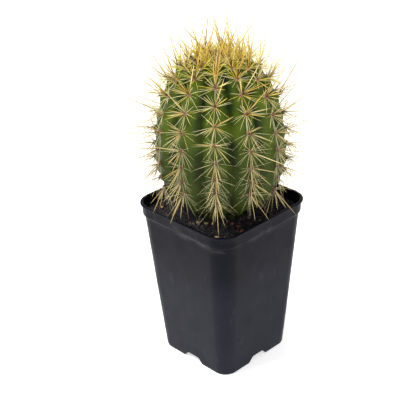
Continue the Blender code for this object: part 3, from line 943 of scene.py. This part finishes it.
def horn_look():
    look = Look("spine_horn", 0.34)
    look.set("Subsurface Weight", 0.35)
    look.set("Subsurface Radius", (1.0, 0.8, 0.4))
    look.set("Subsurface Scale", 0.0007)
    along = look.number("along")
    young = look.ramp(
        along,
        (0.0, (0.42, 0.21, 0.02)),
        (0.15, (0.90, 0.66, 0.03)),
        (0.6, (0.98, 0.81, 0.07)),
        (1.0, (0.98, 0.90, 0.22)),
    )
    old = look.ramp(
        along,
        (0.0, (0.36, 0.21, 0.09)),
        (0.15, (0.84, 0.75, 0.38)),
        (0.6, (0.93, 0.86, 0.50)),
        (1.0, (0.86, 0.68, 0.26)),
    )
    # Duller, darker straw for the old spines low on the stem: partly real wear, partly painted shade.
    worn_and_shaded = look.ramp(
        along,
        (0.0, (0.08, 0.05, 0.02)),
        (0.25, (0.42, 0.38, 0.22)),
        (1.0, (0.48, 0.39, 0.18)),
    )
    pale = look.maths("ADD", look.number("tone"), look.ramp(look.number("age"), (0.05, 0), (0.6, 1)))
    pale = look.maths("MULTIPLY", pale, 0.5)
    color = look.mixed(look.ramp(pale, (0.38, 0), (0.60, 1)), young, old)
    amber = look.ramp(
        along,
        (0.0, (0.30, 0.11, 0.02)),
        (0.2, (0.56, 0.33, 0.03)),
        (1.0, (0.66, 0.43, 0.06)),
    )
    stout = look.number("stout")
    golden = look.maths("MULTIPLY", stout, look.ramp(look.number("tone"), (0.2, 0.95), (0.9, 0.35)))
    color = look.mixed(golden, color, amber)
    rusty = look.ramp(look.number("tone"), (0.0, 0.55), (0.16, 0))
    color = look.mixed(rusty, color, (0.30, 0.12, 0.04))
    near_foot = look.ramp(along, (0.08, 1), (0.34, 0))
    strong = look.ramp(look.number("foot"), (0.20, 0), (0.75, 0.9))
    color = look.mixed(look.maths("MULTIPLY", near_foot, strong), color, (0.060, 0.018, 0.012))
    slender = look.ramp(look.number("stout"), (0.0, 1.0), (1.0, 0.60))
    # Where that worn colour goes: the old, slender spines low down. Partly real wear, partly painted
    # shade.
    wear_and_shade = look.maths("MULTIPLY", look.ramp(look.number("age"), (0.42, 0), (0.82, 0.9)), slender)
    color = look.mixed(wear_and_shade, color, worn_and_shaded)
    streaks = look.ramp(look.noise(0.0012), (0.3, 0.82), (0.7, 1.0))
    look.set("Base Color", look.mixed(1.0, color, streaks, "MULTIPLY"))
    look.bump(look.noise(0.0005), 0.00003)
    return look.material


def felt_look():
    look = Look("areole_felt", 0.95, specular=0.1)
    color = look.ramp(
        look.noise(0.0007, detail=4),
        (0.35, (0.11, 0.042, 0.030)),
        (0.52, (0.31, 0.16, 0.12)),
        (0.70, (0.62, 0.47, 0.40)),
    )
    # Paler towards the wool's tips and the cushion's top: pale wool, and painted shade at the cushion's
    # foot.
    tips = look.ramp(look.number("along"), (0.3, 0), (1.0, 0.40))
    color = look.mixed(tips, color, (0.54, 0.41, 0.34))
    # Darker towards the foot: partly old felt, partly painted shade low on the stem.
    old = look.ramp(look.number("age"), (0.4, 0), (0.9, 0.85))
    look.set("Base Color", look.mixed(old, color, (0.085, 0.045, 0.025)))
    look.bump(look.noise(0.0003, detail=2), 0.00010)
    return look.material


def peat_look():
    look = Look("peat", 0.95, specular=0.2)
    color = look.ramp(
        look.noise(0.0020, detail=6),
        (0.35, (0.015, 0.015, 0.019)),
        (0.55, (0.030, 0.028, 0.034)),
        (0.75, (0.060, 0.054, 0.056)),
    )
    look.set("Base Color", color)
    look.bump(look.noise(0.0008, detail=5), 0.0004)
    return look.material


def crumb_look():
    look = Look("peat_crumb", 0.92, specular=0.25)
    color = look.ramp(
        look.number("tone"),
        (0.0, (0.016, 0.016, 0.020)),
        (0.70, (0.038, 0.035, 0.041)),
        (0.93, (0.090, 0.074, 0.068)),
        (0.995, (0.22, 0.15, 0.09)),
    )
    grain = look.ramp(look.noise(0.0006), (0.3, 0.6), (0.7, 1.0))
    look.set("Base Color", look.mixed(1.0, color, grain, "MULTIPLY"))
    look.bump(look.noise(0.0005, detail=4), 0.0002)
    return look.material


def fibre_look():
    look = Look("peat_fibre", 0.85, specular=0.25)
    color = look.ramp(
        look.number("tone"),
        (0.0, (0.020, 0.013, 0.010)),
        (0.7, (0.055, 0.032, 0.020)),
        (1.0, (0.22, 0.14, 0.08)),
    )
    grain = look.ramp(look.noise(0.0010, stretch=(4, 4, 1)), (0.3, 0.6), (0.7, 1.0))
    look.set("Base Color", look.mixed(1.0, color, grain, "MULTIPLY"))
    return look.material


def flake_look(name, dark, light, grain):
    """Broken plant matter, in layers a grain's thickness apart."""
    look = Look(name, 0.85, specular=0.3)
    layers = look.noise(grain, detail=5, stretch=(5, 2, 1))
    look.set("Base Color", look.ramp(layers, (0.32, dark), (0.68, light)))
    look.bump(layers, 0.0003)
    return look.material


def plastic_look():
    look = Look("pot_plastic", 0.40, specular=0.075)
    clouds = look.noise(0.030, detail=3)
    color = look.ramp(clouds, (0.35, (0.0042, 0.0043, 0.0088)), (0.65, (0.0066, 0.0066, 0.0120)))
    scuffs = look.ramp(look.noise(0.0035, detail=6, stretch=(1, 1, 3)), (0.60, 0), (0.74, 1))
    color = look.mixed(look.maths("MULTIPLY", scuffs, 0.22), color, (0.060, 0.060, 0.066))
    level = look.maths("MULTIPLY", look.level(), 1 / POT_TOP)
    # Painted sheen: lighter and bluer low on the walls, fading out towards the top.
    painted_sheen_low = look.ramp(level, (0.05, 0.28), (0.48, 0.24), (0.74, 0.0))
    color = look.mixed(painted_sheen_low, color, (0.024, 0.025, 0.038))
    # Painted shade: darker and bluer towards the top of the walls and the band.
    painted_shade_top = look.ramp(level, (0.60, (1, 1, 1)), (0.84, (0.42, 0.42, 0.60)))
    color = look.mixed(1.0, color, painted_shade_top, "MULTIPLY")
    # Pale grey smears along the band's step: partly dust, partly a painted highlight.
    rim = look.ramp(level, (0.88, 0), (0.91, 1), (0.95, 0.6), (0.99, 0))
    dust_and_highlight = look.ramp(look.noise(0.0130, detail=6, stretch=(1, 1, 0.5)), (0.50, 0), (0.72, 0.20))
    look.set("Base Color", look.mixed(look.maths("MULTIPLY", rim, dust_and_highlight), color, (0.15, 0.15, 0.16)))
    look.set("Roughness", look.ramp(look.noise(0.0120, detail=5), (0.3, 0.34), (0.7, 0.50)))
    look.bump(look.noise(0.0011, detail=3), 0.00005)
    return look.material


def floor_look():
    look = Look("studio_floor", 0.9, specular=0.1)
    paper = look.ramp(look.noise(0.004), (0.3, (0.90, 0.90, 0.90)), (0.7, (0.94, 0.94, 0.94)))
    look.set("Base Color", paper)
    look.set("Emission Color", (1, 1, 1, 1))
    look.set("Emission Strength", 0.55)
    return look.material


# --------------------------------------------------------------- studio


def build_floor():
    """A round paper floor that curves up far away all round, so that every view ends in paper."""
    turns = np.arange(FLOOR_COLUMNS) * math.tau / FLOOR_COLUMNS
    circle = np.column_stack([np.cos(turns), np.sin(turns)])
    rings = []
    for share in np.linspace(1, 0, FLOOR_RINGS):
        reach = mix(FLOOR_FLAT, FLOOR_REACH, share)
        rings.append(np.column_stack([circle * reach, np.full(FLOOR_COLUMNS, FLOOR_RISE * share**2)]))
    quads, _ = tube_faces(len(rings), FLOOR_COLUMNS)
    middle = quads[-1].max() - np.arange(FLOOR_COLUMNS)[::-1]
    pile = Pile()
    pile.add(np.concatenate(rings), [quads, middle[None]])
    pile.make("studio_floor", floor_look())


def build_world():
    world = bpy.data.worlds.new("studio")
    world.use_nodes = True
    sky = world.node_tree.nodes["Background"]
    sky.inputs["Color"].default_value = (1, 1, 1, 1)
    sky.inputs["Strength"].default_value = 0.50
    bpy.context.scene.world = world


def build_lamp(name, place, size, power, color):
    """A square soft light that faces the middle of the plant."""
    lamp = bpy.data.lights.new(name, "AREA")
    lamp.size = size
    lamp.energy = power
    lamp.color = color
    holder = bpy.data.objects.new(name, lamp)
    holder.location = place
    toward = Vector(LAMP_AIM) - holder.location
    holder.rotation_euler = toward.to_track_quat("-Z", "Y").to_euler()
    bpy.context.scene.collection.objects.link(holder)


def build_camera():
    camera = bpy.data.cameras.new("camera")
    camera.lens = LENS_MM
    camera.sensor_width = SENSOR_MM
    holder = bpy.data.objects.new("camera", camera)
    level = math.cos(CAMERA_ELEVATION)
    back = Vector(
        (math.sin(CAMERA_AZIMUTH) * level, -math.cos(CAMERA_AZIMUTH) * level, math.sin(CAMERA_ELEVATION))
    )
    right = Vector((0, 0, 1)).cross(back).normalized()
    up = back.cross(right)
    right, up = (
        right * math.cos(CAMERA_ROLL) + up * math.sin(CAMERA_ROLL),
        up * math.cos(CAMERA_ROLL) - right * math.sin(CAMERA_ROLL),
    )
    place = Vector((0, 0, TARGET_HEIGHT)) + right * TARGET_ASIDE + back * CAMERA_DISTANCE
    axes = Matrix((right, up, back)).transposed().to_4x4()
    holder.matrix_world = Matrix.Translation(place) @ axes
    bpy.context.scene.collection.objects.link(holder)
    bpy.context.scene.camera = holder


# ----------------------------------------------------------------- main


def build_chips():
    looks = {
        "bark": flake_look("bark", (0.075, 0.022, 0.014), (0.26, 0.10, 0.055), 0.0008),
        "pale": flake_look("pale_wood", (0.22, 0.14, 0.055), (0.62, 0.48, 0.24), 0.0008),
        "perlite": flake_look("perlite", (0.40, 0.42, 0.44), (0.78, 0.80, 0.80), 0.0006),
    }
    slots = {"bark": "bark", "pale": "pale_wood", "perlite": "perlite"}
    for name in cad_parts:
        kind = name.split("_")[0]
        if kind in looks:
            build_chip(name, looks[kind], slots[kind])


def main():
    bpy.context.scene.view_settings.view_transform = "Standard"
    build_camera()
    build_world()
    build_floor()
    build_lamp("key", (-0.45, -0.75, 1.50), 0.8, 26, (1.0, 0.99, 0.97))
    build_lamp("fill", (1.30, -0.35, 0.18), 1.0, 9.5, (1.0, 0.98, 0.98))
    build_pot(plastic_look())
    build_soil(peat_look())
    build_crumbs(crumb_look())
    build_fibres(fibre_look())
    build_chips()
    build_stem(stem_look())
    horn = horn_look()
    felt = felt_look()
    build_spine_rows(horn, felt)
    build_crown(horn, felt)


main()
